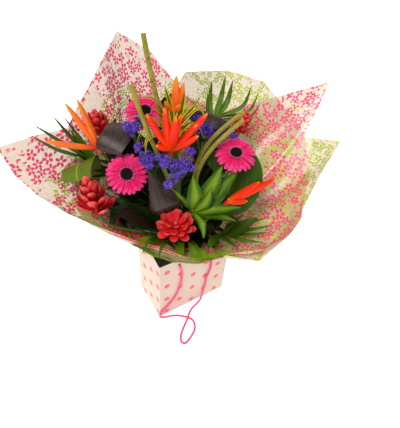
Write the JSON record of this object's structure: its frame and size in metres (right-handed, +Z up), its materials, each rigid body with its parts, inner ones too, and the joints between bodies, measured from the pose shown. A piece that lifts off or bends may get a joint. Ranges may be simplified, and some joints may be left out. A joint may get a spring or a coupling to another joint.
{
  "type": "wrapped mixed flower bouquet",
  "caption": "Hand-tied mixed bouquet of tropical and daisy-like flowers in flared printed film, standing in a small dotted gift bag with a cord handle.",
  "frame": {"origin": "centre of the bag's base, on the surface it stands on", "axes": "+Z up; -Y is the way the bag's wide front face with the handle looks; +X to the right seen from the front"},
  "size_m": [0.6763, 0.4084, 0.5836],
  "materials": {
    "card": "matte",
    "cord": "matte",
    "water": "gloss",
    "raffia": "matte",
    "film_pink": "gloss",
    "film_lime": "gloss",
    "gerbera": "matte",
    "eye": "matte",
    "ginger": "satin",
    "heliconia": "satin",
    "statice": "matte",
    "green": "satin",
    "croton": "satin",
    "cane": "satin",
    "cordyline": "satin",
    "aspidistra": "satin",
    "dracaena": "satin",
    "palm": "satin"
  },
  "bodies": {
    "root": {"aspidistra_back": "aspidistra", "aspidistra_left": "aspidistra", "aspidistra_right": "aspidistra", "bag": "card", "cane_left": "cane", "cane_right_lower": "cane", "cane_right_upper": "cane", "cane_tall": "cane", "cordyline_back_left": "cordyline", "cordyline_back_right": "cordyline", "cordyline_front": "cordyline", "cordyline_low": "cordyline", "croton_sprig": "croton", "dracaena_rosette": "dracaena", "film_lime": "film_lime", "film_pink": "film_pink", "foliage_left": "green", "foliage_middle": "green", "foliage_right": "green", "gerbera_back_eye": "eye", "gerbera_back_rays": "gerbera", "gerbera_back_stem": "green", "gerbera_left_eye": "eye", "gerbera_left_rays": "gerbera", "gerbera_left_stem": "green", "gerbera_right_eye": "eye", "gerbera_right_rays": "gerbera", "gerbera_right_stem": "green", "ginger_back_left_bracts": "ginger", "ginger_back_left_stem": "green", "ginger_front_bracts": "ginger", "ginger_front_stem": "green", "ginger_left_bracts": "ginger", "ginger_left_stem": "green", "ginger_right_bracts": "ginger", "ginger_right_stem": "green", "handle_cord": "cord", "handle_knot_left": "cord", "handle_knot_right": "cord", "heliconia_back_bracts": "heliconia", "heliconia_back_stem": "green", "heliconia_front_bracts": "heliconia", "heliconia_front_stem": "green", "heliconia_left_bracts": "heliconia", "heliconia_left_stem": "green", "heliconia_right_bracts": "heliconia", "heliconia_right_stem": "green", "palm_front": "palm", "palm_left": "palm", "palm_right": "palm", "statice_back_left_florets": "statice", "statice_back_left_green": "green", "statice_left_florets": "statice", "statice_left_green": "green", "statice_middle_florets": "statice", "statice_middle_green": "green", "statice_right_florets": "statice", "statice_right_green": "green", "tie": "raffia", "water_pack": "water"}
  },
  "joints": []
}
